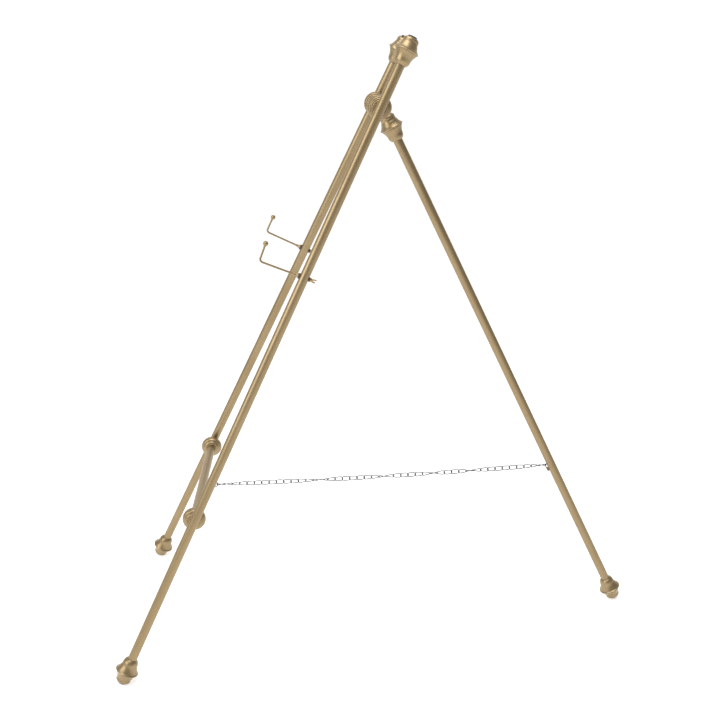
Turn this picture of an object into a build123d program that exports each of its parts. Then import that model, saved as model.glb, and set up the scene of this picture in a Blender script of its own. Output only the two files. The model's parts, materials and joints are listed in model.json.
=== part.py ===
from build123d import *
import os
from math import atan2, cos, degrees, radians, sin

# Folding floor easel of painted steel tube, in millimetres.
# +X is the object's left-to-right axis, +Y points from the front legs to the rear leg, +Z is up.
# The origin is at the middle of the bounding box, on the floor.

SIDES = ((-1, "left"), (1, "right"))

# ---- driving dimensions -------------------------------------------------------------------

TUBE_RADIUS = 9.5
TUBE_WALL = 1.2
FRONT_LEAN = 25.64           # lean of the front frame from the vertical, degrees
REAR_LEAN = 26.25            # lean of the rear leg from the vertical, degrees
FRAME_LENGTH = 1340.0        # along the front frame, from foot ring to top ring
FOOT_HALF_SPACING = 255.3    # front leg axis to the middle, at the foot rings
TOP_HALF_SPACING = 67.1      # front leg axis to the middle, at the top rings
RING_HEIGHT = 27.9           # middle of each foot's wide ring above the floor

LOWER_BAR_SHARE = 0.253      # where the crossbars sit, as shares of FRAME_LENGTH
UPPER_BAR_SHARE = 0.915
HOOK_SHARE = 0.6566

RING_RADIUS = 23.5           # widest ring of a turned end
MOUTH = -28.3                # mouth of the tube socket in a turned end, from its ring
TUBE_END = 3.0               # end of a leg tube in its socket, from the ring
DOME_END = 25.4              # end of a turned end's dome, from its ring
CAP_RADIUS = 9.3             # rubber cap on a dome
CAP_THICKNESS = 2.4
CAP_STEM_RADIUS = 3.5
CAP_STEM_LENGTH = 7.0

BALL_HALF_THICKNESS = 17.5
BAR_SOCKET_DEPTH = 12.0
STUD_RADIUS = 3.0
STUD_REACH = 30.0            # each side of the leg wall
BAR_PLUG_LENGTH = 20.0

HINGE_TO_RING = 49.3         # upper crossbar axis to the rear leg's top ring, along the leg
REAR_AXIS_OFFSET = 6.7       # the rear leg's axis passes this far behind the crossbar's
YOKE_RADIUS = 14.0
YOKE_WIDTH = 26.0
YOKE_NECK_RADIUS = 8.0
YOKE_SPIGOT_RADIUS = 4.0
YOKE_SPIGOT_LENGTH = 10.0
RUNNING_GAP = 0.05           # radial clearance of a turning fit
SIDE_GAP = 0.3
STOP_RING_RADIUS = 12.5
STOP_RING_WIDTH = 6.0

HOOK_ROD_RADIUS = 2.0
HOOK_REACH = 91.5            # leg axis to the upturned end of the hook
HOOK_RISE = 36.0             # rod to the middle of the tip ball
HOOK_BEND_RADIUS = 6.5
HOOK_DROOP = {-1: 0.0, 1: 4.0}   # how far each hook sags from square to its leg, degrees
TIP_BALL_RADIUS = 5.1
WASHER_RADIUS = 5.7
WASHER_THICKNESS = 2.4
REAR_WASHER_RADIUS = 4.4
COLLAR_LENGTH = 12.0
NUT_RADIUS = 4.0
NUT_LENGTH = 6.8
WING_THICKNESS = 2.0
WING_TURN = 22.0             # wings turned from the level, degrees

EYE_DISTANCE = 29.0          # lower crossbar axis to the middle of its chain eye
EYE_RING_RADIUS = 4.9
EYE_WIRE_RADIUS = 1.1
EYE_SHANK_RADIUS = 1.6
EYE_SHANK_DEPTH = 4.0        # how far an eye's shank reaches under the tube's surface
EYE_SHOULDER_RADIUS = 4.0
EYE_SHOULDER_HEIGHT = 1.6
LOOP_FOOT_HEIGHT = 352.5     # boss of the rear chain loop above the rear foot ring, along the leg
LOOP_LENGTH = 13.0
LOOP_STAND_OFF = 3.5
LOOP_BOSS_RADIUS = 4.6
LOOP_BOSS_HEIGHT = 4.6
LOOP_BOSS_WIDTH = 5.2        # across the leg, narrow enough for a chain link to pass round it

CHAIN_LINKS = 45
CHAIN_WIRE_RADIUS = 1.0
CHAIN_LINK_WIDTH = 10.4
CHAIN_CLEARANCE = 0.15
CHAIN_SAG = 4.5
CHAIN_TWIST = 900.0          # whole twist of the chain from end to end, degrees
FRONT_RUN_LINKS = 21         # links in the front run, then two turning links, then the rear run

# ---- directions and key points ------------------------------------------------------------

UP_FRAME = Vector(0, sin(radians(FRONT_LEAN)), cos(radians(FRONT_LEAN)))
FORWARD = Vector(0, -cos(radians(FRONT_LEAN)), sin(radians(FRONT_LEAN)))
UP_REAR = Vector(0, -sin(radians(REAR_LEAN)), cos(radians(REAR_LEAN)))
REAR_FORWARD = Vector(0, -cos(radians(REAR_LEAN)), -sin(radians(REAR_LEAN)))


def frame_point(side, share):
    """Point on a front leg's axis, at a share of the way from its foot ring to its top ring."""
    half = FOOT_HALF_SPACING + (TOP_HALF_SPACING - FOOT_HALF_SPACING) * share
    return Vector(side * half, 0, RING_HEIGHT) + UP_FRAME * (FRAME_LENGTH * share)


def middle_point(share):
    """Point of the front frame's plane on the object's middle plane."""
    return Vector(0, 0, RING_HEIGHT) + UP_FRAME * (FRAME_LENGTH * share)


def leg_direction(side):
    """Upward direction of a front leg's axis."""
    return (frame_point(side, 1) - frame_point(side, 0)).normalized()


HINGE = middle_point(UPPER_BAR_SHARE)
REAR_TOP_RING = HINGE - REAR_FORWARD * REAR_AXIS_OFFSET - UP_REAR * HINGE_TO_RING
REAR_LENGTH = (REAR_TOP_RING.Z - RING_HEIGHT) / cos(radians(REAR_LEAN))
REAR_FOOT_RING = REAR_TOP_RING - UP_REAR * REAR_LENGTH

EYE_CENTRE = middle_point(LOWER_BAR_SHARE) - FORWARD * EYE_DISTANCE
LOOP_FOOT = REAR_FOOT_RING + UP_REAR * LOOP_FOOT_HEIGHT
CHAIN_END = LOOP_FOOT + UP_REAR * (LOOP_LENGTH - 1.6) + REAR_FORWARD * (TUBE_RADIUS + 1.3)
EYE_TO_WIRE = EYE_RING_RADIUS - EYE_WIRE_RADIUS - CHAIN_WIRE_RADIUS - CHAIN_CLEARANCE
CHAIN_START = EYE_CENTRE + (CHAIN_END - EYE_CENTRE).normalized() * EYE_TO_WIRE


# ---- shape helpers ------------------------------------------------------------------------

def turned(outline):
    """Revolve a closed outline about Z.

    Each entry is (radius, height), reached by a straight line, or (radius, height, mid radius,
    mid height), reached by an arc through the middle point.
    """
    edges = []
    start = outline[-1][:2]
    for entry in outline:
        end = entry[:2]
        if len(entry) == 4:
            edges.append(ThreePointArc(start, entry[2:], end))
        else:
            edges.append(Line(start, end))
        start = end
    return revolve(Plane.XZ * make_face(edges), Axis.Z)


def rod(start, end, radius):
    """Round bar between two points."""
    start = Vector(start)
    run = Vector(end) - start
    place = Plane(origin=start, z_dir=run)
    return extrude(place * Circle(radius), run.length)


def tube(start, end, radius, wall):
    return rod(start, end, radius) - rod(start, end, radius - wall)


def facing(point, direction, across):
    """Place whose Z runs along a direction, with X as near as possible to another one."""
    direction = Vector(direction).normalized()
    across = Vector(across)
    flat = across - direction * across.dot(direction)
    return Plane(origin=point, x_dir=flat, z_dir=direction).location


def place_turned(shape, point, direction):
    """Place a turned shape with its axis along a direction."""
    return Plane(origin=point, z_dir=direction).location * shape


def gathered(shapes):
    """Several loose pieces as one group."""
    return Compound([solid for shape in shapes for solid in shape.solids()])


# ---- turned ends --------------------------------------------------------------------------

def turned_end():
    """Turned end of a leg: tube socket, bulb, flare, wide ring, waist and dome.

    Its ring is at zero, its socket below and its dome above.
    """
    outline = [
        (0, -TUBE_END),
        (TUBE_RADIUS, -TUBE_END),
        (TUBE_RADIUS, MOUTH),
        (TUBE_RADIUS + 0.9, MOUTH),
        (15.8, -19.0, 14.0, -24.4),
        (16.2, -14.5),
        (21.4, -3.0, 18.3, -8.8),
        (21.0, -2.6),
        (22.9, -1.3),
        (RING_RADIUS, -0.9),
        (RING_RADIUS, 0.9, RING_RADIUS + 0.4, 0.0),
        (22.3, 2.2),
        (17.0, 11.5, 19.3, 6.2),
        (15.2, 16.5, 15.7, 14.0),
        (15.3, 19.5, 15.1, 18.0),
        (9.6, DOME_END, 13.8, 23.2),
        (0, DOME_END),
    ]
    stem = rod((0, 0, DOME_END - CAP_STEM_LENGTH), (0, 0, DOME_END), CAP_STEM_RADIUS)
    return turned(outline) - stem


def cap():
    """Rubber cap with a stem that presses into the dome. Its zero is the ring's plane."""
    edge = 1.2
    top = DOME_END + CAP_THICKNESS
    return turned([
        (0, DOME_END - CAP_STEM_LENGTH),
        (CAP_STEM_RADIUS, DOME_END - CAP_STEM_LENGTH),
        (CAP_STEM_RADIUS, DOME_END),
        (CAP_RADIUS, DOME_END),
        (CAP_RADIUS, top - edge),
        (CAP_RADIUS - edge, top, CAP_RADIUS - edge * 0.293, top - edge * 0.293),
        (0, top),
    ])


def above_floor(shape):
    """Flatten the lowest side of a foot's rubber cap on the floor."""
    room = 400
    return shape & (Pos(shape.center().X, shape.center().Y, room / 2) * Box(room, room, room))


# ---- crossbars ----------------------------------------------------------------------------

def mirrored_below(face):
    """The same turned face upside down, from its far end back to the middle plane."""
    below = [(face[-1][0], -face[-1][1])]
    for upper, entry in zip(face[-2::-1], face[:0:-1]):
        bend = (entry[2], -entry[3]) if len(entry) == 4 else ()
        below.append((upper[0], -upper[1], *bend))
    return below


def bar_ball(face):
    """Ball at a crossbar's end, about Z: the bar enters the socket at the top."""
    outline = [
        (STUD_RADIUS, -BALL_HALF_THICKNESS),
        *mirrored_below(face),
        (face[0][0], face[0][1], face[0][0] + 0.2, 0),
        *face[1:],
        (TUBE_RADIUS, BALL_HALF_THICKNESS),
        (TUBE_RADIUS, BALL_HALF_THICKNESS - BAR_SOCKET_DEPTH),
        (STUD_RADIUS, BALL_HALF_THICKNESS - BAR_SOCKET_DEPTH),
    ]
    return turned(outline)


def stepped_face():
    """Half of the lower balls: two broad turned bands with a groove between them."""
    return [
        (RING_RADIUS, 2.0),
        (20.0, 9.0, 22.6, 5.8),
        (18.2, 9.6),
        (18.2, 10.6),
        (14.6, 14.6, 17.0, 13.0),
        (12.6, 14.9),
        (12.2, BALL_HALF_THICKNESS),
    ]


def beaded_face():
    """Half of the upper balls: four fine beads."""
    return [
        (RING_RADIUS, 1.4),
        (21.6, 7.2, 23.0, 4.4),
        (21.0, 7.2),
        (18.9, 10.6, 20.8, 9.4),
        (18.3, 10.4),
        (15.7, 13.4, 17.8, 12.6),
        (15.1, 13.2),
        (12.3, 15.6, 14.4, 15.1),
        (11.8, 15.4),
        (11.2, BALL_HALF_THICKNESS),
    ]


def crossbar_parts(share, face, ball_name, bar_name, parts):
    """One crossbar with its two balls, end plugs and studs, cut to the legs."""
    plugs = []
    studs = []
    half = frame_point(1, share).X
    ball_middle = half - TUBE_RADIUS - BALL_HALF_THICKNESS
    bar_end = ball_middle - BALL_HALF_THICKNESS + BAR_SOCKET_DEPTH
    middle = middle_point(share)
    for side, word in SIDES:
        leg = rod(frame_point(side, 0), frame_point(side, 1), TUBE_RADIUS)
        ball = place_turned(bar_ball(face), middle + Vector(side * ball_middle, 0, 0), (-side, 0, 0))
        parts[f"{ball_name}_{word}"] = ball - leg
        end = middle + Vector(side * bar_end, 0, 0)
        inner = end - Vector(side * BAR_PLUG_LENGTH, 0, 0)
        plugs.append(tube(inner, end, TUBE_RADIUS - TUBE_WALL, TUBE_RADIUS - TUBE_WALL - STUD_RADIUS))
        wall = middle + Vector(side * (half - TUBE_RADIUS), 0, 0)
        stud = rod(wall - Vector(side * STUD_REACH, 0, 0), wall + Vector(side * 5, 0, 0), STUD_RADIUS)
        studs.append(stud)
        parts[f"front_leg_{word}"] -= stud
    left = middle - Vector(bar_end, 0, 0)
    parts[bar_name] = tube(left, middle + Vector(bar_end, 0, 0), TUBE_RADIUS, TUBE_WALL)
    return plugs, studs


# ---- hinge --------------------------------------------------------------------------------

def hinge_yoke():
    """Sleeve that turns on the upper crossbar, with a neck and spigot into the rear leg's end."""
    half = Vector(YOKE_WIDTH / 2, 0, 0)
    sleeve = rod(HINGE - half, HINGE + half, YOKE_RADIUS)
    sleeve = fillet(sleeve.edges().filter_by(GeomType.CIRCLE), 1.5)
    dome_face = REAR_TOP_RING + UP_REAR * DOME_END
    neck_length = HINGE_TO_RING - DOME_END - YOKE_NECK_RADIUS / 2
    neck = rod(dome_face, dome_face + UP_REAR * neck_length, YOKE_NECK_RADIUS)
    spigot = rod(dome_face - UP_REAR * YOKE_SPIGOT_LENGTH, dome_face, YOKE_SPIGOT_RADIUS)
    bore = rod(HINGE - half * 2, HINGE + half * 2, TUBE_RADIUS + RUNNING_GAP)
    return sleeve + neck + spigot - bore


def stop_rings():
    """Two thin rings fixed on the crossbar, one at each end of the yoke."""
    near = YOKE_WIDTH / 2 + SIDE_GAP
    rings = []
    for side, _ in SIDES:
        start = HINGE + Vector(side * near, 0, 0)
        end = start + Vector(side * STOP_RING_WIDTH, 0, 0)
        rings.append(tube(start, end, STOP_RING_RADIUS, STOP_RING_RADIUS - TUBE_RADIUS))
    return rings


# ---- picture hooks ------------------------------------------------------------------------

def hook_place(side):
    """Place of a hook: Z runs forward along its rod, X is level, Y runs up the leg."""
    droop = radians(HOOK_DROOP[side])
    direction = FORWARD * cos(droop) - UP_FRAME * sin(droop)
    return facing(frame_point(side, HOOK_SHARE), direction, across=leg_direction(side).cross(FORWARD))


def hook_rod():
    tail = -(TUBE_RADIUS + WASHER_THICKNESS + NUT_LENGTH)
    path = FilletPolyline(
        (0, 0, tail), (0, 0, HOOK_REACH), (0, HOOK_RISE - 2, HOOK_REACH), radius=HOOK_BEND_RADIUS
    )
    return sweep(Plane((0, 0, tail), z_dir=(0, 0, 1)) * Circle(HOOK_ROD_RADIUS), path)


def hook_tip():
    """Tip ball with the small neck that joins it to the rod, hollow where the rod enters."""
    neck_end = -6.6
    neck_top = -3.6
    rod_end = -2.0
    neck = turned([
        (0, neck_top),
        (0, neck_end),
        (2.3, neck_end),
        (3.2, neck_top, 2.5, -5.4),
    ])
    hollow = rod((0, 0, neck_end), (0, 0, rod_end), HOOK_ROD_RADIUS)
    shape = Sphere(TIP_BALL_RADIUS) + neck - hollow
    return Pos(0, HOOK_RISE, HOOK_REACH) * Rot(-90, 0, 0) * shape


def hook_collar():
    """Flared collar that bears on the front washer."""
    base = TUBE_RADIUS + WASHER_THICKNESS
    return Pos(0, 0, base) * turned([
        (HOOK_ROD_RADIUS, 0),
        (5.2, 0),
        (5.2, 0.8),
        (2.9, 6.2, 3.4, 3.4),
        (HOOK_ROD_RADIUS + 0.25, COLLAR_LENGTH),
        (HOOK_ROD_RADIUS, COLLAR_LENGTH),
    ])


def saddle_washer(radius):
    """Washer about the hook rod, long enough for its inner face to be cut to the leg's tube."""
    hole = HOOK_ROD_RADIUS + RUNNING_GAP
    outer = TUBE_RADIUS + WASHER_THICKNESS
    inner = TUBE_RADIUS - 2
    return turned([
        (hole, inner),
        (radius, inner),
        (radius, outer - 0.4),
        (radius - 0.4, outer),
        (hole, outer),
    ])


def wing_nut():
    """Wing nut: tapered hub and two rounded wings that rise away from the leg."""
    hole = HOOK_ROD_RADIUS + RUNNING_GAP
    hub = turned([
        (hole, 0),
        (NUT_RADIUS, 0),
        (NUT_RADIUS, 1.2),
        (NUT_RADIUS - 0.7, NUT_LENGTH),
        (hole, NUT_LENGTH),
    ])
    shape = hub
    for side in (1, -1):
        outline = make_face([
            Line((side * 2.6, 0.6), (side * 5.4, 1.6)),
            ThreePointArc((side * 5.4, 1.6), (side * 11.2, 7.6), (side * 10.4, 11.6)),
            ThreePointArc((side * 10.4, 11.6), (side * 8.2, 12.2), (side * 6.6, 10.2)),
            ThreePointArc((side * 6.6, 10.2), (side * 5.0, 7.0), (side * 2.6, 6.0)),
            Line((side * 2.6, 6.0), (side * 2.6, 0.6)),
        ])
        wing = extrude(Plane.XZ * outline, WING_THICKNESS / 2, both=True)
        shape += wing - Cylinder(hole, 60)
    base = TUBE_RADIUS + WASHER_THICKNESS
    return Pos(0, 0, -base) * Rot(0, 180, 0) * shape


def hook_parts(side, word, parts):
    place = hook_place(side)
    leg = rod(frame_point(side, 0), frame_point(side, 1), TUBE_RADIUS)
    hole = place * Cylinder(HOOK_ROD_RADIUS + RUNNING_GAP, 80)
    parts[f"front_leg_{word}"] -= hole
    parts[f"hook_rod_{word}"] = place * hook_rod()
    parts[f"hook_tip_{word}"] = place * hook_tip()
    parts[f"hook_collar_{word}"] = place * hook_collar()
    parts[f"hook_front_washer_{word}"] = place * saddle_washer(WASHER_RADIUS) - leg
    rear_washer = Rot(0, 180, 0) * saddle_washer(REAR_WASHER_RADIUS)
    parts[f"hook_rear_washer_{word}"] = place * rear_washer - leg
    parts[f"wing_nut_{word}"] = place * Rot(0, 0, side * WING_TURN) * wing_nut()


# ---- chain and its two eyes ---------------------------------------------------------------

def front_chain_eye():
    """Screw eye in the back of the lower crossbar, with a small shoulder on the tube."""
    middle = middle_point(LOWER_BAR_SHARE)
    ring = facing(EYE_CENTRE, (1, 0, 0), across=(0, 1, 0)) * Torus(EYE_RING_RADIUS, EYE_WIRE_RADIUS)
    inside = middle - FORWARD * (TUBE_RADIUS - EYE_SHANK_DEPTH)
    shank_end = middle - FORWARD * (EYE_DISTANCE - EYE_RING_RADIUS)
    shank = rod(inside, shank_end, EYE_SHANK_RADIUS)
    shoulder = rod(middle, middle - FORWARD * (TUBE_RADIUS + EYE_SHOULDER_HEIGHT), EYE_SHOULDER_RADIUS)
    across = Vector(EYE_DISTANCE, 0, 0)
    return ring + shank + (shoulder - rod(middle - across, middle + across, TUBE_RADIUS))


def rear_chain_loop():
    """Boss with flat sides on the front of the rear leg, and a wire loop that rises along the tube.

    Gives the piece and the part of it that passes through the leg's wall.
    """
    below = LOOP_FOOT - UP_REAR * LOOP_LENGTH * 2
    above = LOOP_FOOT + UP_REAR * LOOP_LENGTH * 2
    face = LOOP_FOOT + REAR_FORWARD * (TUBE_RADIUS + LOOP_BOSS_HEIGHT)
    sides = Pos(LOOP_FOOT) * Box(LOOP_BOSS_WIDTH, LOOP_LENGTH * 4, LOOP_LENGTH * 4)
    boss = (rod(LOOP_FOOT, face, LOOP_BOSS_RADIUS) & sides) - rod(below, above, TUBE_RADIUS)
    shank = rod(LOOP_FOOT + REAR_FORWARD * (TUBE_RADIUS - EYE_SHANK_DEPTH), face, EYE_SHANK_RADIUS)
    foot = LOOP_FOOT + REAR_FORWARD * (TUBE_RADIUS + EYE_WIRE_RADIUS * 2)
    crown = REAR_FORWARD * (TUBE_RADIUS + LOOP_STAND_OFF)
    top = UP_REAR * (LOOP_LENGTH + EYE_WIRE_RADIUS / 2)
    bend = LOOP_FOOT + UP_REAR * (LOOP_BOSS_RADIUS + 1) + crown
    inner = LOOP_FOOT + top + REAR_FORWARD * (TUBE_RADIUS - 2)
    path = FilletPolyline(foot, bend, LOOP_FOOT + top + crown, inner, radius=1.6)
    wire = sweep(Plane(origin=foot, z_dir=bend - foot) * Circle(EYE_WIRE_RADIUS), path)
    wire -= rod(below, above, TUBE_RADIUS - TUBE_WALL)
    return boss + shank + wire, shank + wire


def chain_link(length):
    """Flat oval link about its middle, long along X and flat in XY."""
    bend = CHAIN_LINK_WIDTH / 2 - CHAIN_WIRE_RADIUS
    straight = length / 2 - bend - CHAIN_WIRE_RADIUS
    path = Wire([
        Line((-straight, bend), (straight, bend)).edge(),
        ThreePointArc((straight, bend), (straight + bend, 0), (straight, -bend)).edge(),
        Line((straight, -bend), (-straight, -bend)).edge(),
        ThreePointArc((-straight, -bend), (-straight - bend, 0), (-straight, bend)).edge(),
    ])
    section = Plane(origin=(-straight, bend, 0), z_dir=(1, 0, 0)) * Circle(CHAIN_WIRE_RADIUS)
    return sweep(section, path)


def chain_links():
    """Links along a shallow sag, each a quarter turn from the last, plus a slow twist."""
    run = CHAIN_END - CHAIN_START
    overlap = 2 * CHAIN_WIRE_RADIUS + CHAIN_CLEARANCE
    pitch = (run.length - overlap) / CHAIN_LINKS
    link = chain_link(pitch + overlap + 2 * CHAIN_WIRE_RADIUS)
    links = []
    for index in range(CHAIN_LINKS):
        distance = overlap / 2 + pitch * (index + 0.5)
        share = distance / run.length
        sag = 4 * CHAIN_SAG * share * (1 - share)
        slope = 4 * CHAIN_SAG * (1 - 2 * share) / run.length
        middle = CHAIN_START + run * share - Vector(0, 0, sag)
        heading = degrees(atan2(run.Z / run.Y - slope, 1))
        twist = 90 * index + CHAIN_TWIST * index / (CHAIN_LINKS - 1)
        links.append(Pos(middle) * Rot(heading, 0, 0) * Rot(0, twist, 0) * Rot(0, 0, 90) * link)
    return links


def chain_parts(parts):
    links = chain_links()
    first = FRONT_RUN_LINKS
    parts["chain_front_run"] = Compound(links[:first])
    parts["chain_turn_front"] = links[first]
    parts["chain_turn_rear"] = links[first + 1]
    parts["chain_rear_run"] = Compound(links[first + 2:])


# ---- the whole easel ----------------------------------------------------------------------

def front_legs(parts):
    for side, word in SIDES:
        up = leg_direction(side)
        foot = frame_point(side, 0)
        top = frame_point(side, 1)
        lower = foot + up * TUBE_END
        upper = top - up * TUBE_END
        parts[f"front_leg_{word}"] = tube(lower, upper, TUBE_RADIUS, TUBE_WALL)
        parts[f"top_finial_{word}"] = place_turned(turned_end(), top, up)
        parts[f"top_cap_{word}"] = place_turned(cap(), top, up)
        parts[f"front_foot_{word}"] = place_turned(turned_end(), foot, -up)
        parts[f"front_foot_pad_{word}"] = above_floor(place_turned(cap(), foot, -up))


def rear_leg(parts):
    lower = REAR_FOOT_RING + UP_REAR * TUBE_END
    upper = REAR_TOP_RING - UP_REAR * TUBE_END
    loop, loop_hole = rear_chain_loop()
    parts["rear_leg_tube"] = tube(lower, upper, TUBE_RADIUS, TUBE_WALL) - loop_hole
    parts["rear_chain_loop"] = loop
    parts["hinge_yoke"] = hinge_yoke()
    finial = place_turned(turned_end(), REAR_TOP_RING, UP_REAR)
    parts["rear_top_finial"] = finial - parts["hinge_yoke"]
    parts["rear_foot"] = place_turned(turned_end(), REAR_FOOT_RING, -UP_REAR)
    parts["rear_foot_pad"] = above_floor(place_turned(cap(), REAR_FOOT_RING, -UP_REAR))


def build():
    parts = {}
    front_legs(parts)
    lower = crossbar_parts(LOWER_BAR_SHARE, stepped_face(), "lower_ball", "lower_crossbar", parts)
    upper = crossbar_parts(UPPER_BAR_SHARE, beaded_face(), "upper_ball", "upper_crossbar", parts)
    parts["crossbar_end_plugs"] = gathered(lower[0] + upper[0])
    parts["crossbar_studs"] = gathered(lower[1] + upper[1])
    parts["front_chain_eye"] = front_chain_eye()
    parts["lower_crossbar"] -= rod(EYE_CENTRE, middle_point(LOWER_BAR_SHARE), EYE_SHANK_RADIUS)
    parts["hinge_stop_rings"] = gathered(stop_rings())
    rear_leg(parts)
    for side, word in SIDES:
        hook_parts(side, word, parts)
    chain_parts(parts)
    return parts


def main():
    parts = build()
    boxes = [shape.bounding_box() for shape in parts.values()]
    middle_y = (min(box.min.Y for box in boxes) + max(box.max.Y for box in boxes)) / 2
    floor = min(box.min.Z for box in boxes)
    shift = Pos(0, -middle_y, -floor)
    os.makedirs("parts", exist_ok=True)
    for name, shape in parts.items():
        export_step(Compound((shift * shape).solids()), f"parts/{name}.step")
    points = {
        "hinge": HINGE,
        "chain start": CHAIN_START,
        "chain end": CHAIN_END,
        "right hook": frame_point(1, HOOK_SHARE),
    }
    for name, point in points.items():
        x, y, z = point + Vector(0, -middle_y, -floor)
        print(name, round(x, 3), round(y, 3), round(z, 3))


main()
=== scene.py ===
import bpy
import json
import math
from mathutils import Matrix, Vector


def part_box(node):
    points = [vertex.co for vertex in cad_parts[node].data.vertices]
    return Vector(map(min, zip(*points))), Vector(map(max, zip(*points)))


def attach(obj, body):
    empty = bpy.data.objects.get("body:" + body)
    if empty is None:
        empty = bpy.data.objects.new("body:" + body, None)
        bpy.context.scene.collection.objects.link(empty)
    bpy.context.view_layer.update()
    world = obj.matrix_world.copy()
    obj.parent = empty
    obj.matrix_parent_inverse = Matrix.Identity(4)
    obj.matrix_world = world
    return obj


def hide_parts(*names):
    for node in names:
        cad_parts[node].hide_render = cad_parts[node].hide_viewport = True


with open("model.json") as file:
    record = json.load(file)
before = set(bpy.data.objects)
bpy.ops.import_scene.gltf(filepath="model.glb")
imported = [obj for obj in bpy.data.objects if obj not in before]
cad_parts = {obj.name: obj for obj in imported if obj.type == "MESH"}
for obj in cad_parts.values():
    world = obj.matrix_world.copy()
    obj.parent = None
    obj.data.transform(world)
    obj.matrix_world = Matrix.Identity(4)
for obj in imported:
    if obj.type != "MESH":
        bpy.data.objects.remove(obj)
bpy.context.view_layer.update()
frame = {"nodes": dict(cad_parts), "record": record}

# A folding display easel: two front legs with turned ends, two crossbars held in turned balls,
# a rear leg hinged on the upper crossbar, two hooks with wing nuts, and a chain.
# Dimensions and outlines are in millimetres, in the frame of the CAD part. The meshes are in metres.

MM = 0.001
SIDES = ((-1, "left"), (1, "right"))
SMOOTH_ANGLE = math.radians(40)

# ---- dimensions ---------------------------------------------------------------------------

FRONT_LEAN = math.radians(25.64)
REAR_LEAN = math.radians(26.25)
FRAME_LENGTH = 1340.0
FOOT_HALF_SPACING = 255.3
TOP_HALF_SPACING = 67.1
LOWER_BAR_SHARE = 0.253
UPPER_BAR_SHARE = 0.915
HOOK_SHARE = 0.6566

TUBE_RADIUS = 9.5
TUBE_END = 3.0
TUBE_SOCKET_GAP = 0.02
RING_RADIUS = 23.5
SOCKET_MOUTH = -28.3
DOME_END = 25.4
CAP_RADIUS = 9.3
CAP_THICKNESS = 2.4
DOME_SEAT = 0.5
BALL_HALF_THICKNESS = 17.5
BAR_SOCKET_DEPTH = 12.0

HINGE_TO_RING = 49.3
REAR_AXIS_OFFSET = 6.7
YOKE_RADIUS = 14.0
YOKE_WIDTH = 26.0
YOKE_NECK_RADIUS = 8.0
YOKE_NECK_INSET = 1.5
RUNNING_GAP = 0.05
STOP_RING_RADIUS = 12.5
STOP_RING_WIDTH = 6.0
SIDE_GAP = 0.3

HOOK_ROD_RADIUS = 2.0
HOOK_REACH = 91.5
HOOK_RISE = 36.0
HOOK_BEND_RADIUS = 6.5
HOOK_DROOP = {-1: 0.0, 1: math.radians(4.0)}
TIP_BALL_RADIUS = 5.1
TIP_NECK_RADIUS = 3.0
TIP_NECK_END = -6.6
TIP_SOCKET_DEPTH = 2.0
COLLAR_LENGTH = 12.0
WASHER_RADIUS = 5.7
REAR_WASHER_RADIUS = 4.4
WASHER_THICKNESS = 2.4
NUT_LENGTH = 6.8
NUT_RADIUS = 4.0
WING_TURN = math.radians(22.0)
WING_ROOT = 2.6
THREAD_PITCH = 0.7
THREAD_HALF_DEPTH = 0.1
THREAD_STEPS = 6

EYE_DISTANCE = 29.0
EYE_RING_RADIUS = 4.9
EYE_WIRE_RADIUS = 1.1
LOOP_FOOT_HEIGHT = 352.5
LOOP_LENGTH = 13.0
LOOP_STAND_OFF = 3.5
LOOP_BOSS_RADIUS = 4.6
LOOP_BOSS_HEIGHT = 4.6
LOOP_BOSS_WIDTH = 5.2
CHAIN_END_BELOW_CROWN = 1.6
CHAIN_END_STAND_OFF = 1.3

CHAIN_LINKS = 45
CHAIN_WIRE_RADIUS = 1.0
CHAIN_LINK_WIDTH = 10.4
CHAIN_CLEARANCE = 0.15
CHAIN_SAG = 4.5
FRONT_RUN_LINKS = 21
LINK_TWIST = math.radians(52)
CHAIN_TILT = math.radians(18.7)
CHAIN_TURN_EASE = 0.7
# How the flat of the chain turns along it: (share of its length, half turns so far).
CHAIN_TURNS = ((0.0, -0.1), (0.03, 0), (0.32, 1), (0.51, 2), (0.66, 3), (0.77, 4), (0.99, 5), (1.0, 5.05))

# ---- directions and key points ------------------------------------------------------------

UP_FRAME = Vector((0, math.sin(FRONT_LEAN), math.cos(FRONT_LEAN)))
FORWARD = Vector((0, -math.cos(FRONT_LEAN), math.sin(FRONT_LEAN)))
UP_REAR = Vector((0, -math.sin(REAR_LEAN), math.cos(REAR_LEAN)))
REAR_FORWARD = Vector((0, -math.cos(REAR_LEAN), -math.sin(REAR_LEAN)))
ACROSS = Vector((1, 0, 0))


def box_middle(node):
    low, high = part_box(node)
    return (low + high) / 2 / MM


HINGE = box_middle("hinge_stop_rings")


def middle_point(share):
    """Point midway between the front legs, at a share of their height from the foot rings."""
    return HINGE + UP_FRAME * FRAME_LENGTH * (share - UPPER_BAR_SHARE)


def frame_point(side, share):
    """Point on the middle line of one front leg, at a share of its height."""
    half = FOOT_HALF_SPACING + (TOP_HALF_SPACING - FOOT_HALF_SPACING) * share
    return middle_point(share) + ACROSS * side * half


def leg_direction(side):
    return (frame_point(side, 1) - frame_point(side, 0)).normalized()


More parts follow.
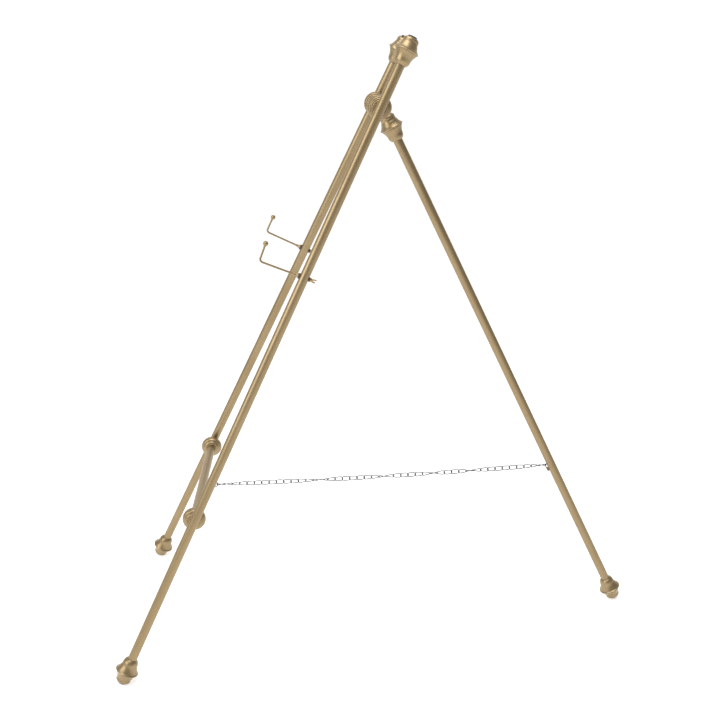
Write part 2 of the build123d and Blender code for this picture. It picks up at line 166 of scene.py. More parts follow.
RING_HEIGHT = middle_point(0).z
REAR_TOP_RING = HINGE - REAR_FORWARD * REAR_AXIS_OFFSET - UP_REAR * HINGE_TO_RING
REAR_FOOT_RING = REAR_TOP_RING - UP_REAR * (REAR_TOP_RING.z - RING_HEIGHT) / math.cos(REAR_LEAN)
EYE_CENTRE = middle_point(LOWER_BAR_SHARE) - FORWARD * EYE_DISTANCE
LOOP_FOOT = REAR_FOOT_RING + UP_REAR * LOOP_FOOT_HEIGHT
CHAIN_END_FORWARD = REAR_FORWARD * (TUBE_RADIUS + CHAIN_END_STAND_OFF)
CHAIN_END = LOOP_FOOT + UP_REAR * (LOOP_LENGTH - CHAIN_END_BELOW_CROWN) + CHAIN_END_FORWARD
EYE_TO_WIRE = EYE_RING_RADIUS - EYE_WIRE_RADIUS - CHAIN_WIRE_RADIUS - CHAIN_CLEARANCE
CHAIN_START = EYE_CENTRE + (CHAIN_END - EYE_CENTRE).normalized() * EYE_TO_WIRE

# ---- mesh helpers -------------------------------------------------------------------------


def place(point, z_axis, x_axis=None):
    """Matrix that puts the origin at a point and Z along a direction."""
    z_axis = Vector(z_axis).normalized()
    if x_axis is None:
        x_axis = ACROSS if abs(z_axis.x) < 0.9 else Vector((0, 1, 0))
    x_axis = Vector(x_axis)
    x_axis = (x_axis - z_axis * x_axis.dot(z_axis)).normalized()
    y_axis = z_axis.cross(x_axis)
    matrix = Matrix((x_axis, y_axis, z_axis)).transposed().to_4x4()
    matrix.translation = point
    return matrix


def arc(start, middle, end, steps=14):
    """Points after the start on the circle through three points."""
    ax, ay = start
    bx, by = middle
    cx, cy = end
    d = 2 * (ax * (by - cy) + bx * (cy - ay) + cx * (ay - by))
    ux = ((ax**2 + ay**2) * (by - cy) + (bx**2 + by**2) * (cy - ay) + (cx**2 + cy**2) * (ay - by)) / d
    uy = ((ax**2 + ay**2) * (cx - bx) + (bx**2 + by**2) * (ax - cx) + (cx**2 + cy**2) * (bx - ax)) / d
    radius = math.hypot(ax - ux, ay - uy)
    first = math.atan2(ay - uy, ax - ux)
    to_middle = (math.atan2(by - uy, bx - ux) - first) % math.tau
    to_end = (math.atan2(cy - uy, cx - ux) - first) % math.tau
    if to_middle > to_end:
        to_end -= math.tau
    angles = [first + to_end * i / steps for i in range(1, steps + 1)]
    return [(ux + radius * math.cos(a), uy + radius * math.sin(a)) for a in angles]


def expand(outline):
    """Outline points with each arc (end, middle) drawn as short straight steps."""
    points = [outline[0][:2]]
    for entry in outline[1:]:
        if len(entry) == 4:
            points += arc(points[-1], entry[2:], entry[:2])
        else:
            points.append(entry[:2])
    return points


def soften(points, radius, closed=False):
    """Round off an outline's corners, except those that turn less than 20 degrees."""
    count = len(points)
    made = []
    for i, point in enumerate(points):
        if not closed and i in (0, count - 1):
            made.append(point)
            continue
        here = Vector(point)
        before = Vector(points[i - 1]) - here
        after = Vector(points[(i + 1) % count]) - here
        turn = math.pi - before.angle(after, math.pi)
        if turn < math.radians(20):
            made.append(point)
            continue
        reach = min(radius * math.tan(turn / 2), before.length * 0.45, after.length * 0.45)
        start = here + before.normalized() * reach
        end = here + after.normalized() * reach
        for step in range(5):
            t = step / 4
            bend = start * (1 - t) ** 2 + here * 2 * t * (1 - t) + end * t**2
            made.append(tuple(bend))
    return made


def mesh_object(name, vertices, faces):
    mesh = bpy.data.meshes.new(name)
    mesh.from_pydata([tuple(Vector(v) * MM) for v in vertices], [], faces)
    mesh.validate()
    mesh.shade_smooth()
    mesh.set_sharp_from_angle(angle=SMOOTH_ANGLE)
    obj = bpy.data.objects.new(name, mesh)
    bpy.context.scene.collection.objects.link(obj)
    return obj


def lathe_mesh(outline, matrix, corner=0.3, sides=96, closed=False):
    """Vertices and faces of an outline turned about Z. An open outline starts and ends on the axis."""
    points = soften(expand(outline), corner, closed)
    vertices = []
    rows = []
    for radius, height in points:
        if radius < 1e-6:
            rows.append([len(vertices)])
            vertices.append(matrix @ Vector((0, 0, height)))
            continue
        row = []
        for i in range(sides):
            angle = math.tau * i / sides
            row.append(len(vertices))
            vertices.append(matrix @ Vector((radius * math.cos(angle), radius * math.sin(angle), height)))
        rows.append(row)
    if closed:
        rows.append(rows[0])
    faces = []
    for low, high in zip(rows, rows[1:]):
        for i in range(sides):
            j = (i + 1) % sides
            if len(low) == 1:
                faces.append((low[0], high[j], high[i]))
            elif len(high) == 1:
                faces.append((low[i], low[j], high[0]))
            else:
                faces.append((low[i], low[j], high[j], high[i]))
    return vertices, faces


def sweep_mesh(path, radii, sides=20, closed=False, x_axis=None):
    """Vertices and faces of a round wire along a path, without twist along it."""
    count = len(path)
    path = [Vector(p) for p in path]
    tangents = []
    for i in range(count):
        if closed:
            tangents.append((path[(i + 1) % count] - path[i - 1]).normalized())
        else:
            tangents.append((path[min(i + 1, count - 1)] - path[max(i - 1, 0)]).normalized())
    normal = Vector(x_axis) if x_axis else tangents[0].orthogonal()
    vertices = []
    for point, tangent, radius in zip(path, tangents, radii):
        normal = (normal - tangent * normal.dot(tangent)).normalized()
        other = tangent.cross(normal)
        for i in range(sides):
            angle = math.tau * i / sides
            vertices.append(point + (normal * math.cos(angle) + other * math.sin(angle)) * radius)
    faces = []
    shift = 0
    # A closed wire's last ring of vertices meets its first ring with the least twist.
    if closed:
        last = vertices[(count - 1) * sides:]
        gaps = []
        for turn in range(sides):
            gaps.append(sum((last[i] - vertices[(i + turn) % sides]).length for i in range(sides)))
        shift = gaps.index(min(gaps))
    for row in range(count if closed else count - 1):
        below = row * sides
        above = (row + 1) % count * sides
        turn = shift if row == count - 1 else 0
        for i in range(sides):
            j = (i + 1) % sides
            faces.append((below + i, below + j, above + (j + turn) % sides, above + (i + turn) % sides))
    if not closed:
        faces.append(tuple(reversed(range(sides))))
        faces.append(tuple(range((count - 1) * sides, count * sides)))
    return vertices, faces


def join(*meshes):
    """One mesh of several."""
    vertices = []
    faces = []
    for more_vertices, more_faces in meshes:
        start = len(vertices)
        vertices += more_vertices
        faces += [tuple(start + i for i in face) for face in more_faces]
    return vertices, faces


def rounded_path(points, radius, steps=10):
    """Straight runs with round bends between them."""
    points = [Vector(p) for p in points]
    path = [points[0]]
    for before, here, after in zip(points, points[1:], points[2:]):
        back = (before - here).normalized()
        on = (after - here).normalized()
        reach = radius / math.tan(back.angle(on) / 2)
        start = here + back * reach
        end = here + on * reach
        centre = here + (back + on).normalized() * math.hypot(reach, radius)
        axis = (start - centre).cross(end - centre)
        sweep = (start - centre).angle(end - centre)
        for step in range(steps + 1):
            path.append(centre + Matrix.Rotation(sweep * step / steps, 3, axis) @ (start - centre))
    path.append(points[-1])
    return path


# ---- materials ----------------------------------------------------------------------------


class Nodes:
    """Short way to make and join shader nodes."""

    def __init__(self, name):
        self.material = bpy.data.materials.new(name)
        self.material.use_nodes = True
        self.tree = self.material.node_tree
        self.shader = self.tree.nodes["Principled BSDF"]
        self.place = self.add("ShaderNodeTexCoord").outputs["Object"]

    def add(self, kind, **values):
        node = self.tree.nodes.new(kind)
        for key, value in values.items():
            setattr(node, key, value)
        return node

    def join(self, source, target):
        self.tree.links.new(source, target)

    def noise(self, scale, detail=3.0, roughness=0.55, stretch=None):
        node = self.add("ShaderNodeTexNoise")
        node.inputs["Scale"].default_value = scale
        node.inputs["Detail"].default_value = detail
        node.inputs["Roughness"].default_value = roughness
        source = self.place
        if stretch:
            mapping = self.add("ShaderNodeMapping")
            mapping.inputs["Scale"].default_value = stretch
            self.join(source, mapping.inputs["Vector"])
            source = mapping.outputs["Vector"]
        self.join(source, node.inputs["Vector"])
        return node.outputs["Fac"]

    def ramp(self, value, stops):
        node = self.add("ShaderNodeValToRGB")
        elements = node.color_ramp.elements
        while len(elements) < len(stops):
            elements.new(0.5)
        for element, (position, colour) in zip(elements, stops):
            element.position = position
            element.color = (*colour, 1)
        self.join(value, node.inputs["Fac"])
        return node.outputs["Color"]

    def between(self, value, low, high, start=0.3, end=0.7):
        node = self.add("ShaderNodeMapRange")
        for key, number in (("From Min", start), ("From Max", end), ("To Min", low), ("To Max", high)):
            node.inputs[key].default_value = number
        self.join(value, node.inputs["Value"])
        return node.outputs["Result"]

    def mix(self, amount, tone, colour):
        """Colour laid over a tone where the amount is high."""
        node = self.add("ShaderNodeMix", data_type="RGBA")
        self.join(amount, node.inputs["Factor"])
        self.join(tone, node.inputs[6])
        node.inputs[7].default_value = (*colour, 1)
        return node.outputs[2]

    def bump(self, height, strength, distance):
        node = self.add("ShaderNodeBump")
        node.inputs["Strength"].default_value = strength
        node.inputs["Distance"].default_value = distance
        self.join(height, node.inputs["Height"])
        self.join(node.outputs["Normal"], self.shader.inputs["Normal"])

    def set(self, **values):
        """Set the shader's inputs to a number, a colour or the output of another node."""
        for key, value in values.items():
            socket = self.shader.inputs[key.replace("_", " ")]
            if isinstance(value, (int, float)):
                socket.default_value = value
            elif isinstance(value, tuple):
                socket.default_value = (*value, 1)
            else:
                self.join(value, socket)


def paint_material(name, dark, light, wear):
    """Satin metallic paint: cloudy tone, fine flake, faint rubbed patches and orange peel."""
    n = Nodes(name)
    tone = n.ramp(n.noise(9, 4), ((0.3, dark), (0.7, light)))
    flake = n.noise(900, 2)
    tone = n.mix(n.between(flake, 0.0, 0.1, 0.5, 0.75), tone, wear)
    scuffs = n.noise(60, 6, 0.7, (1.0, 1.0, 0.35))
    tone = n.mix(n.between(scuffs, 0.0, 0.2, 0.62, 0.78), tone, dark)
    n.set(Base_Color=tone, Metallic=0.8, Roughness=n.between(n.noise(35, 4), 0.36, 0.44))
    n.set(Coat_Weight=0.15, Coat_Roughness=0.32)
    n.bump(n.noise(160, 2), 0.3, 0.00001)
    return n.material


def rubber_material(name, dark=(0.010, 0.010, 0.011), light=(0.028, 0.027, 0.026)):
    """Dull rubber with dust and a pitted surface."""
    n = Nodes(name)
    tone = n.ramp(n.noise(220, 5), ((0.35, dark), (0.75, light)))
    n.set(Base_Color=tone, Roughness=n.between(n.noise(500, 3), 0.45, 0.7))
    n.bump(n.noise(1500, 3), 0.25, 0.0002)
    return n.material


def metal_material(name, dark, light, low, high):
    """Bare or plated metal: tone clouds, tarnish in spots and fine drawing marks."""
    n = Nodes(name)
    tone = n.ramp(n.noise(180, 5), ((0.3, dark), (0.65, light)))
    spots = n.noise(900, 2)
    tone = n.mix(n.between(spots, 0.0, 0.4, 0.6, 0.8), tone, dark)
    n.set(Base_Color=tone, Metallic=1.0, Roughness=n.between(n.noise(400, 3), low, high))
    n.bump(n.noise(2200, 2), 0.12, 0.0001)
    return n.material


PAINT = paint_material("champagne_paint", (0.280, 0.200, 0.100), (0.330, 0.243, 0.130), (0.48, 0.39, 0.25))
RUBBER = rubber_material("black_rubber")
CHAIN_STEEL = metal_material("chain_steel", (0.08, 0.08, 0.08), (0.22, 0.22, 0.22), 0.3, 0.5)
DARK_FITTING = metal_material("dark_fitting", (0.14, 0.10, 0.055), (0.26, 0.19, 0.11), 0.3, 0.5)
BRASS = metal_material("brass_nut", (0.28, 0.19, 0.10), (0.46, 0.33, 0.20), 0.25, 0.42)
PLAIN_STEEL = metal_material("plain_steel", (0.28, 0.28, 0.28), (0.55, 0.55, 0.55), 0.3, 0.5)
PLASTIC = rubber_material("plug_plastic")
WASHER_RUBBER = rubber_material("washer_rubber", (0.045, 0.034, 0.024), (0.085, 0.066, 0.046))
FINISHES = {
    "champagne_paint": PAINT,
    "black_rubber": RUBBER,
    "chain_steel": CHAIN_STEEL,
    "dark_fitting": DARK_FITTING,
    "brass_nut": BRASS,
    "plain_steel": PLAIN_STEEL,
    "plug_plastic": PLASTIC,
}
NODE_SLOTS = {part["node"]: part["material_slot"] for part in frame["record"]["subparts"]}
BODIES = frame["record"]["behaviour"]["bodies"]
NODE_BODIES = {node: body for body, members in BODIES.items() for node in members}


def add_piece(node, mesh):
    """A finished piece that stands for one CAD node, with its finish and body."""
    obj = mesh_object(node + "_piece", *mesh)
    slot = NODE_SLOTS[node]
    obj.data.materials.append(WASHER_RUBBER if "washer" in node else FINISHES[slot])
    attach(obj, NODE_BODIES[node])
    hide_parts(node)


# ---- turned ends and caps -----------------------------------------------------------------

# Outline of a turned end. Height 0 is the middle of its ring, and the tube enters it from below.
TURNED_END = [
    (0, -TUBE_END),
    (TUBE_RADIUS, -TUBE_END),
    (TUBE_RADIUS, SOCKET_MOUTH),
    (TUBE_RADIUS + 0.9, SOCKET_MOUTH),
    (15.8, -19.0, 14.0, -24.4),
    (16.2, -14.5),
    (21.4, -3.0, 18.3, -8.8),
    (21.0, -2.6),
    (22.9, -1.3),
    (RING_RADIUS, -0.9),
    (RING_RADIUS, 0.9, RING_RADIUS + 0.4, 0.0),
    (22.3, 2.2),
    (17.0, 11.5, 19.3, 6.2),
    (15.2, 16.5, 15.7, 14.0),
    (15.3, 19.5, 15.1, 18.0),
    (9.6, DOME_END, 13.8, 23.2),
    (0, DOME_END),
]


def turned_end(point, direction):
    return lathe_mesh(TURNED_END, place(point, direction), corner=0.35)


def cap(point, direction):
    """Rubber cap or pad on a turned end's dome. It is flat where it rests on the floor."""
    base = DOME_END - DOME_SEAT
    top = DOME_END + CAP_THICKNESS
    outline = [(0, base), (CAP_RADIUS, base), (CAP_RADIUS, top), (0, top)]
    vertices, faces = lathe_mesh(outline, place(point, direction), corner=1.1)
    return [Vector((v.x, v.y, max(v.z, 0))) for v in vertices], faces


# ---- tubes and crossbars ------------------------------------------------------------------


def leg_tube(start, end):
    direction = (end - start).normalized()
    length = (end - start).length - 2 * TUBE_END
    radius = TUBE_RADIUS - TUBE_SOCKET_GAP
    steps = 24
    outline = [(0, 0), *[(radius, length * i / steps) for i in range(steps + 1)], (0, length)]
    return lathe_mesh(outline, place(start + direction * TUBE_END, direction), sides=72)


# Outlines of one face of a crossbar's ball, from its middle to its socket.
STEPPED_FACE = [
    (RING_RADIUS, 2.0),
    (20.0, 9.0, 22.6, 5.8),
    (18.2, 9.6),
    (18.2, 10.6),
    (14.6, 14.6, 17.0, 13.0),
    (12.6, 14.9),
    (12.2, BALL_HALF_THICKNESS),
]
BEADED_FACE = [
    (RING_RADIUS, 1.4),
    (21.6, 7.2, 23.0, 4.4),
    (21.0, 7.2),
    (18.9, 10.6, 20.8, 9.4),
    (18.3, 10.4),
    (15.7, 13.4, 17.8, 12.6),
    (15.1, 13.2),
    (12.3, 15.6, 14.4, 15.1),
    (11.8, 15.4),
    (11.2, BALL_HALF_THICKNESS),
]


def bar_ball(face, point, direction):
    """Turned ball, its two faces alike, with the socket that the bar enters."""
    upper = expand(face)
    lower = [(radius, -height) for radius, height in reversed(upper)]
    bottom = BALL_HALF_THICKNESS - BAR_SOCKET_DEPTH
    rim = [(RING_RADIUS, face[0][1], RING_RADIUS + 0.2, 0)]
    socket = [(TUBE_RADIUS, BALL_HALF_THICKNESS), (TUBE_RADIUS, bottom), (0, bottom)]
    outline = [(0, -BALL_HALF_THICKNESS), *lower, *rim, *upper[1:], *socket]
    return lathe_mesh(outline, place(point, direction), corner=0.25)


def add_crossbar(share, face, ball_name, bar_name):
    """Crossbar at a share of the front legs' height, with the ball at each end."""
    middle = middle_point(share)
    ball_middle = frame_point(1, share).x - TUBE_RADIUS - BALL_HALF_THICKNESS
    half = ball_middle - BALL_HALF_THICKNESS + BAR_SOCKET_DEPTH
    for side, word in SIDES:
        ball = bar_ball(face, middle + ACROSS * side * ball_middle, ACROSS * -side)
        add_piece(f"{ball_name}_{word}", ball)
    radius = TUBE_RADIUS - TUBE_SOCKET_GAP
    outline = [(0, -half), *[(radius, half * (i / 8 - 1)) for i in range(17)], (0, half)]
    add_piece(bar_name, lathe_mesh(outline, place(middle, ACROSS), sides=72))


# ---- hinge --------------------------------------------------------------------------------


YOKE_NECK = [
    (0, 0),
    (10.2, 0),
    (YOKE_NECK_RADIUS, 3.2, 8.6, 0.9),
    (YOKE_NECK_RADIUS, 12),
    (YOKE_NECK_RADIUS, 18),
    (0, 18),
]


def hinge_yoke():
    """Sleeve on the upper crossbar, and a neck that ends in its wall, clear of its bore."""
    half = YOKE_WIDTH / 2
    bore = TUBE_RADIUS + RUNNING_GAP
    sleeve_outline = [(bore, -half), (YOKE_RADIUS, -half), (YOKE_RADIUS, half), (bore, half)]
    sleeve = lathe_mesh(sleeve_outline, place(HINGE, ACROSS), corner=1.5, closed=True)
    base = REAR_TOP_RING + UP_REAR * (DOME_END - DOME_SEAT)
    neck, faces = lathe_mesh(YOKE_NECK, place(base, UP_REAR), corner=0.3, sides=64)
    nearest = YOKE_RADIUS - YOKE_NECK_INSET
    kept = []
    for v in neck:
        away = Vector((0, v.y - HINGE.y, v.z - HINGE.z))
        if away.length < nearest:
            v = Vector((v.x, HINGE.y, HINGE.z)) + away.normalized() * nearest
        kept.append(v)
    return join(sleeve, (kept, faces))


def stop_rings():
    rings = []
    for side, _ in SIDES:
        start = YOKE_WIDTH / 2 + SIDE_GAP
        end = start + STOP_RING_WIDTH
        face = [(TUBE_RADIUS, start), (STOP_RING_RADIUS, start)]
        outline = [*face, (STOP_RING_RADIUS, end), (TUBE_RADIUS, end)]
        rings.append(lathe_mesh(outline, place(HINGE, ACROSS * side), corner=0.8, closed=True))
    return join(*rings)


# ---- hooks --------------------------------------------------------------------------------


def hook_matrix(side):
    """Place of a hook: the origin in the leg, Z forward along the rod and Y up."""
    droop = HOOK_DROOP[side]
    direction = FORWARD * math.cos(droop) - UP_FRAME * math.sin(droop)
    return place(frame_point(side, HOOK_SHARE), direction, leg_direction(side).cross(FORWARD))


def moved(matrix, mesh):
    vertices, faces = mesh
    return [matrix @ Vector(v) for v in vertices], faces


def hook_rod():
    """Bent rod, with its thread behind the leg."""
    tail = -(TUBE_RADIUS + WASHER_THICKNESS + NUT_LENGTH)
    top = HOOK_RISE - TIP_SOCKET_DEPTH
    thread_end = -TUBE_RADIUS
    steps = int((thread_end - tail) / THREAD_PITCH * THREAD_STEPS)
    path = [(0, 0, tail + (thread_end - tail) * i / steps) for i in range(steps)]
    radii = []
    for i, point in enumerate(path):
        groove = THREAD_HALF_DEPTH * (1 + math.cos(math.tau * (point[2] - tail) / THREAD_PITCH))
        chamfer = 0.35 * max(0, 1 - i / 3)
        radii.append(HOOK_ROD_RADIUS - groove - chamfer)
    rest = rounded_path([(0, 0, thread_end), (0, 0, HOOK_REACH), (0, top, HOOK_REACH)], HOOK_BEND_RADIUS)
    path += [tuple(p) for p in rest]
    radii += [HOOK_ROD_RADIUS] * len(rest)
    return sweep_mesh(path, radii, sides=28, x_axis=(1, 0, 0))


def hook_tip():
    """Ball with a short neck, hollow where the rod's end enters it."""
    neck_height = -math.sqrt(TIP_BALL_RADIUS**2 - TIP_NECK_RADIUS**2)
    outline = [
        (0, TIP_BALL_RADIUS),
        (TIP_NECK_RADIUS, neck_height, TIP_BALL_RADIUS, 0),
        (2.3, TIP_NECK_END, 2.5, -5.4),
        (HOOK_ROD_RADIUS, TIP_NECK_END),
        (HOOK_ROD_RADIUS, -TIP_SOCKET_DEPTH),
        (0, -TIP_SOCKET_DEPTH),
    ]
    return lathe_mesh(outline, place((0, HOOK_RISE, HOOK_REACH), (0, 1, 0)), corner=0.2, sides=48)


def hook_collar():
    base = TUBE_RADIUS + WASHER_THICKNESS
    outline = [
        (HOOK_ROD_RADIUS, base),
        (5.2, base),
        (5.2, base + 0.8),
        (2.9, base + 6.2, 3.4, base + 3.4),
        (HOOK_ROD_RADIUS + 0.25, base + COLLAR_LENGTH),
        (HOOK_ROD_RADIUS, base + COLLAR_LENGTH),
    ]
    return lathe_mesh(outline, Matrix(), corner=0.25, sides=64, closed=True)


def saddle_washer(radius, leg, direction):
    """Washer whose inner face follows the leg's round tube, with the leg's direction as the hook sees it."""
    hole = HOOK_ROD_RADIUS + RUNNING_GAP
    outer = TUBE_RADIUS + WASHER_THICKNESS
    flat = [(hole + (radius - hole) * i / 6, 0) for i in range(7)]
    outline = [*flat, (radius, outer), (hole, outer)]
    vertices, faces = lathe_mesh(outline, Matrix(), corner=0.35, sides=64, closed=True)
    # Points between the washer's outer face and the tube are kept, and the rest move out to the tube.
    shaped = []
    for v in vertices:
        along = v.x * leg.x + v.y * leg.y
        square = 1 - leg.z**2
        away = v.x**2 + v.y**2 - along**2 - TUBE_RADIUS**2
        surface = (along * leg.z + direction * math.sqrt((along * leg.z) ** 2 - square * away)) / square
        shaped.append(Vector((v.x, v.y, direction * max(v.z, abs(surface)))))
    if direction < 0:
        faces = [tuple(reversed(face)) for face in faces]
    return shaped, faces


# Outline of one wing from the hub, the point that its edge is rounded towards, and its layers
# through the thickness: (how far the outline shrinks, height).
WING_OUTLINE = [
    (WING_ROOT, 0.6),
    (5.4, 1.6),
    (10.4, 11.6, 11.2, 7.6),
    (6.6, 10.2, 8.2, 12.2),
    (WING_ROOT, 6.0, 5.0, 7.0),
]
WING_MIDDLE = (6.4, 6.4)
WING_LAYERS = ((0.55, -1.0), (0.16, -0.84), (0.0, -0.45), (0.0, 0.45), (0.16, 0.84), (0.55, 1.0))


def wing(side):
    edge = expand(WING_OUTLINE)
    middle_x, middle_z = WING_MIDDLE
    count = len(edge)
    vertices = []
    rows = []
    for inset, height in WING_LAYERS:
        rows.append(list(range(len(vertices), len(vertices) + count)))
        for x, z in edge:
            away = Vector((x - middle_x, z - middle_z))
            away -= away.normalized() * inset
            vertices.append(Vector((side * max(middle_x + away.x, WING_ROOT), height, middle_z + away.y)))
    faces = []
    for low, high in zip(rows, rows[1:]):
        for i in range(count):
            j = (i + 1) % count
            faces.append((low[i], low[j], high[j], high[i]))
    faces.append(tuple(reversed(rows[0])))
    faces.append(tuple(rows[-1]))
    if side > 0:
        faces = [tuple(reversed(face)) for face in faces]
    return vertices, faces


def wing_nut():
    """Hub and two rounded wings that rise away from the leg."""
    hole = HOOK_ROD_RADIUS + RUNNING_GAP
    hub_outline = [
        (hole, 0),
        (NUT_RADIUS, 0),
        (NUT_RADIUS, 1.2),
        (NUT_RADIUS - 0.7, NUT_LENGTH),
        (hole, NUT_LENGTH),
    ]
    hub = lathe_mesh(hub_outline, Matrix(), corner=0.3, sides=48, closed=True)
    to_back = Matrix.Translation((0, 0, -TUBE_RADIUS - WASHER_THICKNESS)) @ Matrix.Rotation(math.pi, 4, "Y")
    return moved(to_back, join(hub, wing(1), wing(-1)))


def add_hook(side, word):
    matrix = hook_matrix(side)
    add_piece(f"hook_rod_{word}", moved(matrix, hook_rod()))
    add_piece(f"hook_tip_{word}", moved(matrix, hook_tip()))
    add_piece(f"hook_collar_{word}", moved(matrix, hook_collar()))
    leg = matrix.to_3x3().inverted() @ leg_direction(side)
    add_piece(f"hook_front_washer_{word}", moved(matrix, saddle_washer(WASHER_RADIUS, leg, 1)))
    add_piece(f"hook_rear_washer_{word}", moved(matrix, saddle_washer(REAR_WASHER_RADIUS, leg, -1)))
    turned = matrix @ Matrix.Rotation(side * WING_TURN, 4, "Z")
    add_piece(f"wing_nut_{word}", moved(turned, wing_nut()))


# ---- chain --------------------------------------------------------------------------------


def front_chain_eye():
    """Screw eye in the back of the lower crossbar, its ring upright."""
    middle = middle_point(LOWER_BAR_SHARE)
    shank_end = EYE_DISTANCE - EYE_RING_RADIUS + 0.3
    steps = 48
    angles = [math.tau * i / steps for i in range(steps)]
    ring = [EYE_CENTRE + (FORWARD * math.cos(a) + UP_FRAME * math.sin(a)) * EYE_RING_RADIUS for a in angles]
    wire = sweep_mesh(ring, [EYE_WIRE_RADIUS] * steps, sides=18, closed=True)
    outline = [
        (0, TUBE_RADIUS - 2),
        (3.9, TUBE_RADIUS - 2),
        (3.9, TUBE_RADIUS + 0.7),
        (1.7, TUBE_RADIUS + 2.0, 2.4, TUBE_RADIUS + 1.3),
        (1.6, EYE_DISTANCE - EYE_RING_RADIUS - 1.4),
        (1.1, shank_end),
        (0, shank_end),
    ]
    return join(wire, lathe_mesh(outline, place(middle, -FORWARD), corner=0.3, sides=40))


def rear_chain_loop():
    """Boss with flat sides on the front of the rear leg, and a wire loop up from it."""
    outline = [
        (0, TUBE_RADIUS - 2.5),
        (LOOP_BOSS_RADIUS, TUBE_RADIUS - 2.5),
        (LOOP_BOSS_RADIUS, TUBE_RADIUS + LOOP_BOSS_HEIGHT - 0.8),
        (0, TUBE_RADIUS + LOOP_BOSS_HEIGHT, 2.6, TUBE_RADIUS + LOOP_BOSS_HEIGHT - 0.2),
    ]
    round_boss, boss_faces = lathe_mesh(outline, place(LOOP_FOOT, REAR_FORWARD), corner=0.4, sides=48)
    half = LOOP_BOSS_WIDTH / 2
    boss = [Vector((max(-half, min(half, v.x)), v.y, v.z)) for v in round_boss], boss_faces
    crown = REAR_FORWARD * (TUBE_RADIUS + LOOP_STAND_OFF)
    top = UP_REAR * (LOOP_LENGTH + EYE_WIRE_RADIUS / 2)
    points = [
        LOOP_FOOT + REAR_FORWARD * (TUBE_RADIUS + EYE_WIRE_RADIUS * 2),
        LOOP_FOOT + UP_REAR * (LOOP_BOSS_RADIUS + 1) + crown,
        LOOP_FOOT + top + crown,
        LOOP_FOOT + top + REAR_FORWARD * (TUBE_RADIUS - 1.5),
    ]
    path = rounded_path(points, 1.6)
    return join(boss, sweep_mesh(path, [EYE_WIRE_RADIUS] * len(path), sides=18))


def chain_angle(share):
    """Turn of the chain's flat at a share of its length, slowest half way between its stops."""
    for (start, low), (end, high) in zip(CHAIN_TURNS, CHAIN_TURNS[1:]):
        if share <= end:
            way = (share - start) / (end - start)
            way += CHAIN_TURN_EASE * math.sin(math.tau * way) / math.tau
            return math.pi * (low + (high - low) * way)
    return math.pi * CHAIN_TURNS[-1][1]


def link_path(length):
    """Middle line of a link: an oval twisted about its length, so that its neighbours lie as it does."""
    bend = CHAIN_LINK_WIDTH / 2 - CHAIN_WIRE_RADIUS
    straight = length / 2 - bend - CHAIN_WIRE_RADIUS
    flat = []
    for way in (1, -1):
        flat += [(way * (-straight + 2 * straight * i / 8), way * bend) for i in range(9)]
        for angle in [math.pi * i / 10 for i in range(1, 10)]:
            flat.append((way * (straight + bend * math.sin(angle)), way * bend * math.cos(angle)))
    half = straight + bend
    path = []
    for x, y in flat:
        angle = LINK_TWIST / 2 * x / half
        path.append((x, y * math.cos(angle), y * math.sin(angle)))
    return path


def chain_link_meshes():
    """One mesh per link, along a shallow sag."""
    run = CHAIN_END - CHAIN_START
    unturned = ACROSS * math.cos(CHAIN_TILT) + Vector((0, 0, 1)) * math.sin(CHAIN_TILT)
    overlap = 2 * CHAIN_WIRE_RADIUS + CHAIN_CLEARANCE
    pitch = (run.length - overlap) / CHAIN_LINKS
    path = link_path(pitch + overlap + 2 * CHAIN_WIRE_RADIUS)
    wire = sweep_mesh(path, [CHAIN_WIRE_RADIUS] * len(path), sides=14, closed=True)
    links = []
    for index in range(CHAIN_LINKS):
        share = (overlap / 2 + pitch * (index + 0.5)) / run.length
        drop = 4 * CHAIN_SAG * share * (1 - share)
        slope = 4 * CHAIN_SAG * (1 - 2 * share) / run.length
        along = (run.normalized() - Vector((0, 0, slope))).normalized()
        wide = Matrix.Rotation(chain_angle(share), 3, along) @ unturned
        middle = CHAIN_START + run * share - Vector((0, 0, drop))
        links.append(moved(place(middle, along.cross(wide), along), wire))
    return links


def add_chain():
    links = chain_link_meshes()
    first = FRONT_RUN_LINKS
    add_piece("chain_front_run", join(*links[:first]))
    add_piece("chain_turn_front", links[first])
    add_piece("chain_turn_rear", links[first + 1])
    add_piece("chain_rear_run", join(*links[first + 2:]))


# ---- the easel ----------------------------------------------------------------------------

for side, word in SIDES:
    up = leg_direction(side)
    foot = frame_point(side, 0)
    top = frame_point(side, 1)
    add_piece(f"front_leg_{word}", leg_tube(foot, top))
    add_piece(f"top_finial_{word}", turned_end(top, up))
    add_piece(f"top_cap_{word}", cap(top, up))
    add_piece(f"front_foot_{word}", turned_end(foot, -up))
    add_piece(f"front_foot_pad_{word}", cap(foot, -up))
    add_hook(side, word)

add_crossbar(LOWER_BAR_SHARE, STEPPED_FACE, "lower_ball", "lower_crossbar")
add_crossbar(UPPER_BAR_SHARE, BEADED_FACE, "upper_ball", "upper_crossbar")

add_piece("rear_leg_tube", leg_tube(REAR_FOOT_RING, REAR_TOP_RING))
add_piece("rear_top_finial", turned_end(REAR_TOP_RING, UP_REAR))
add_piece("rear_foot", turned_end(REAR_FOOT_RING, -UP_REAR))
add_piece("rear_foot_pad", cap(REAR_FOOT_RING, -UP_REAR))
add_piece("hinge_yoke", hinge_yoke())
add_piece("hinge_stop_rings", stop_rings())

add_piece("front_chain_eye", front_chain_eye())
add_piece("rear_chain_loop", rear_chain_loop())
add_chain()

# Each CAD node has its own finish too.
for node, obj in frame["nodes"].items():
    obj.data.materials.clear()
    obj.data.materials.append(FINISHES[NODE_SLOTS[node]])

# ---- floor, light and camera --------------------------------------------------------------


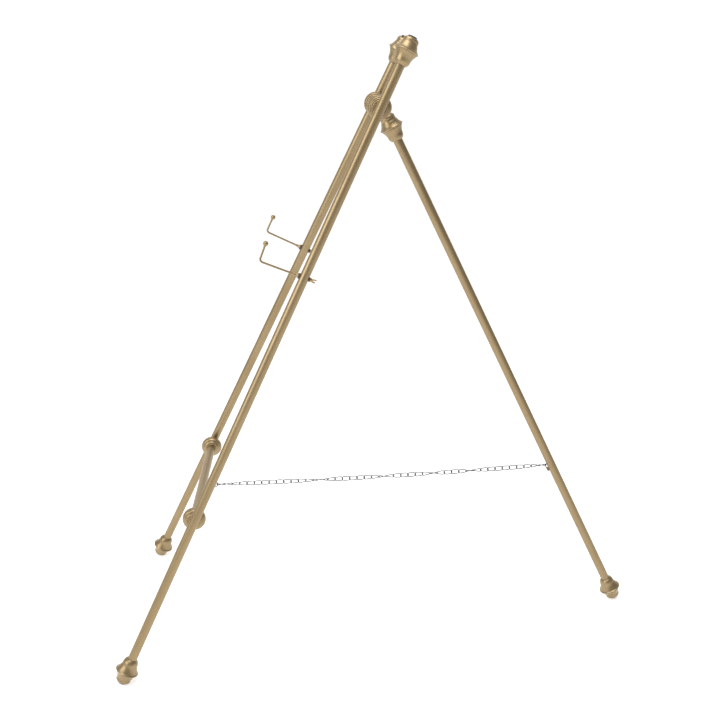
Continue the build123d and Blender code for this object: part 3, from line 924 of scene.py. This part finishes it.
def lit_paper(name, colour, glow):
    """Pale paper on a light table: even, with a faint mottle."""
    n = Nodes(name)
    pale = tuple(c * 0.985 for c in colour)
    n.set(Base_Color=n.ramp(n.noise(3, 3), ((0.3, pale), (0.7, colour))), Roughness=0.9)
    n.set(Emission_Color=(1.0, 1.0, 1.0), Emission_Strength=glow)
    n.material.cycles.emission_sampling = "NONE"
    return n.material


bpy.ops.mesh.primitive_circle_add(vertices=96, radius=9, fill_type="NGON", location=(0, 0, -0.0005))
floor = bpy.context.object
floor.name = "floor"
floor.data.materials.append(lit_paper("floor_paper", (0.90, 0.90, 0.90), 0.56))

# The studio is white behind the easel and dimmer on the other sides.
world = bpy.data.worlds.new("studio")
bpy.context.scene.world = world
world.use_nodes = True
tree = world.node_tree
background = tree.nodes["Background"]
direction = tree.nodes.new("ShaderNodeTexCoord")
apart = tree.nodes.new("ShaderNodeSeparateXYZ")
tree.links.new(direction.outputs["Generated"], apart.inputs["Vector"])
shade = tree.nodes.new("ShaderNodeMapRange")
for socket, number in (("From Min", -0.75), ("From Max", -0.25), ("To Min", 1.08), ("To Max", 0.34)):
    shade.inputs[socket].default_value = number
tree.links.new(apart.outputs["X"], shade.inputs["Value"])
tree.links.new(shade.outputs["Result"], background.inputs["Strength"])
background.inputs["Color"].default_value = (1.0, 1.0, 1.0, 1)
world.cycles.sampling_method = "NONE"


def area_light(name, location, target, size, power):
    """Rectangular light that faces a target."""
    data = bpy.data.lights.new(name, "AREA")
    data.shape = "RECTANGLE"
    data.size, data.size_y = size
    data.energy = power
    lamp = bpy.data.objects.new(name, data)
    bpy.context.scene.collection.objects.link(lamp)
    lamp.location = location
    lamp.rotation_euler = (Vector(target) - Vector(location)).to_track_quat("-Z", "Y").to_euler()


area_light("key", (1.9, -2.9, 2.3), (0, 0, 0.6), (2.6, 2.6), 82)
area_light("overhead", (0.5, -0.3, 3.1), (0, 0, 0.6), (1.6, 1.6), 42)

# The camera's angles in radians, its lens in millimetres, and its place in metres from the point
# midway between the rings of the front feet.
PITCH = 0.3275
HEADING = -0.0486
ROLL = -0.0033
LENS = 47.3
CAMERA_PLACE = (1.9148, 0.4013, 1.2298)
look = Vector((-math.cos(PITCH) * math.cos(HEADING), -math.cos(PITCH) * math.sin(HEADING), -math.sin(PITCH)))
level = Vector((-math.sin(HEADING), math.cos(HEADING), 0))
upward = level.cross(look)
right = level * math.cos(ROLL) + upward * math.sin(ROLL)
upward = right.cross(look)
camera_data = bpy.data.cameras.new("camera")
camera_data.lens = LENS
camera_data.sensor_width = 36
camera = bpy.data.objects.new("camera", camera_data)
bpy.context.scene.collection.objects.link(camera)
camera.matrix_world = Matrix((right, upward, -look)).transposed().to_4x4()
camera_x, camera_y, camera_z = CAMERA_PLACE
camera.location = (camera_x, camera_y + middle_point(0).y * MM, camera_z + RING_HEIGHT * MM)
bpy.context.scene.camera = camera
bpy.context.scene.view_settings.view_transform = "Standard"
